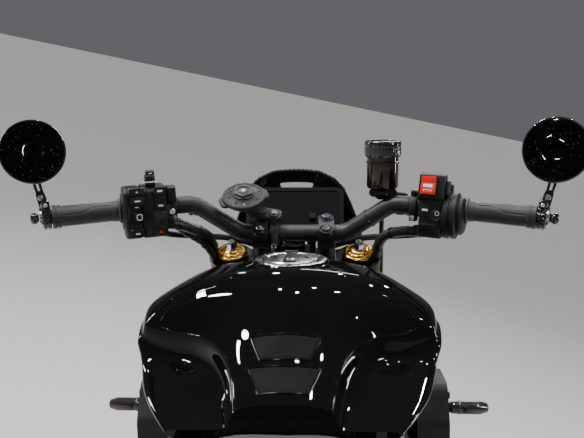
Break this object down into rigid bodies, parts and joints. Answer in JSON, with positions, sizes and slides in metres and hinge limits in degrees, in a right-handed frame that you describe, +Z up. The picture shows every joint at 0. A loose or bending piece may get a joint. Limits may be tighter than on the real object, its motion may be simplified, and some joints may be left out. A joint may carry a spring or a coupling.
{
  "type": "cafe racer motorcycle",
  "caption": "Two-wheeled motorcycle with a sculpted tank, flat bar with bar-end mirrors, round lamp and short tail, leaning on its side stand.",
  "frame": {"origin": "middle of the parked machine on the floor", "axes": "+Y to the front wheel, +X to the rider's right, +Z up; the machine leans 12 degrees towards -X"},
  "size_m": [0.8714, 2.06, 1.2639],
  "materials": {
    "tyre_rubber": "matte",
    "wheel_black": "satin black",
    "disc_steel": "turned steel",
    "dark_steel": "dark steel",
    "fork_black": "black anodised",
    "gold": "gold anodised",
    "caliper_black": "satin black",
    "bar_black": "matte black powder coat",
    "grip_rubber": "moulded rubber",
    "switch_black": "fine grained",
    "mirror_black": "satin black",
    "smoke": "smoked",
    "dark_plastic": "moulded",
    "screen_black": "gloss",
    "cable_black": "braided and sheathed",
    "lens": "clear",
    "tank_black": "gloss clear coat",
    "lid_silver": "machined",
    "frame_black": "satin black",
    "engine_black": "cast, dark grey",
    "cover_grey": "cast, bronze grey",
    "radiator_black": "matte",
    "shroud_grey": "satin",
    "header_steel": "heat tinted",
    "silencer_dark": "satin",
    "swingarm_black": "satin black",
    "spring_dark": "powder coat",
    "seat_cover": "stitched",
    "tail_red": "clear red"
  },
  "bodies": {
    "chassis": {"frame": "frame_black", "engine": "engine_black", "engine_covers": "cover_grey", "radiator": "radiator_black", "radiator_shrouds": "shroud_grey", "exhaust_headers": "header_steel", "silencer": "silencer_dark", "swingarm": "swingarm_black", "rear_axle": "dark_steel", "rear_shock": "spring_dark", "rear_caliper": "caliper_black", "chain": "dark_steel", "fuel_tank": "tank_black", "seat": "seat_cover", "tail_cowl": "tank_black", "tail_light": "tail_red", "plate_holder": "dark_plastic", "turn_signals": "dark_plastic", "side_panels": "shroud_grey", "peg_hangers": "swingarm_black", "footpegs": "dark_steel", "foot_levers": "dark_steel", "stand_bracket": "frame_black"},
    "steering": {"top_clamp": "fork_black", "lower_clamp": "fork_black", "fork_tubes": "fork_black", "fork_sliders": "fork_black", "fork_caps": "gold", "front_axle": "dark_steel", "front_calipers": "caliper_black", "front_fender": "dark_plastic", "handlebar": "bar_black", "bar_risers": "bar_black", "bar_end_caps": "mirror_black", "grips": "grip_rubber", "mirrors": "mirror_black", "switch_left": "switch_black", "switch_right": "switch_black", "hand_levers": "bar_black", "brake_reservoir": "smoke", "phone_mount": "dark_plastic", "dash": "dark_plastic", "headlight": "dark_plastic", "headlight_lens": "lens", "flyscreen": "screen_black", "brake_hoses": "cable_black", "control_cables": "cable_black"},
    "front_wheel": {"front_tyre": "tyre_rubber", "front_wheel": "wheel_black", "front_discs": "disc_steel"},
    "rear_wheel": {"rear_tyre": "tyre_rubber", "rear_wheel": "wheel_black", "rear_disc": "disc_steel", "rear_sprocket": "dark_steel"},
    "filler_lid": {"filler_lid": "lid_silver"},
    "side_stand": {"side_stand": "frame_black"}
  },
  "joints": [
    {"name": "steering", "type": "hinge", "parent": "chassis", "child": "steering", "pos_m": [0.06204, 0.43294, 0.83924], "axis": [-0.1884, -0.4226, 0.8865], "range_deg": [-31, 31]},
    {"name": "front_wheel_spin", "type": "hinge", "parent": "steering", "child": "front_wheel", "pos_m": [0.17776, 0.73, 0.2948], "axis": [0.9781, 0, 0.2079], "continuous": true},
    {"name": "rear_wheel_spin", "type": "hinge", "parent": "chassis", "child": "rear_wheel", "pos_m": [0.17347, -0.71, 0.31502], "axis": [0.9781, 0, 0.2079], "continuous": true},
    {"name": "filler_lid", "type": "hinge", "parent": "chassis", "child": "filler_lid", "pos_m": [0.03243, 0.305, 0.97852], "axis": [-0.9781, 0, -0.2079], "range_deg": [0, 80]},
    {"name": "side_stand", "type": "hinge", "parent": "chassis", "child": "side_stand", "pos_m": [0.02721, 0.04, 0.22395], "axis": [-0.9538, 0.152, 0.259], "range_deg": [0, 98]}
  ]
}
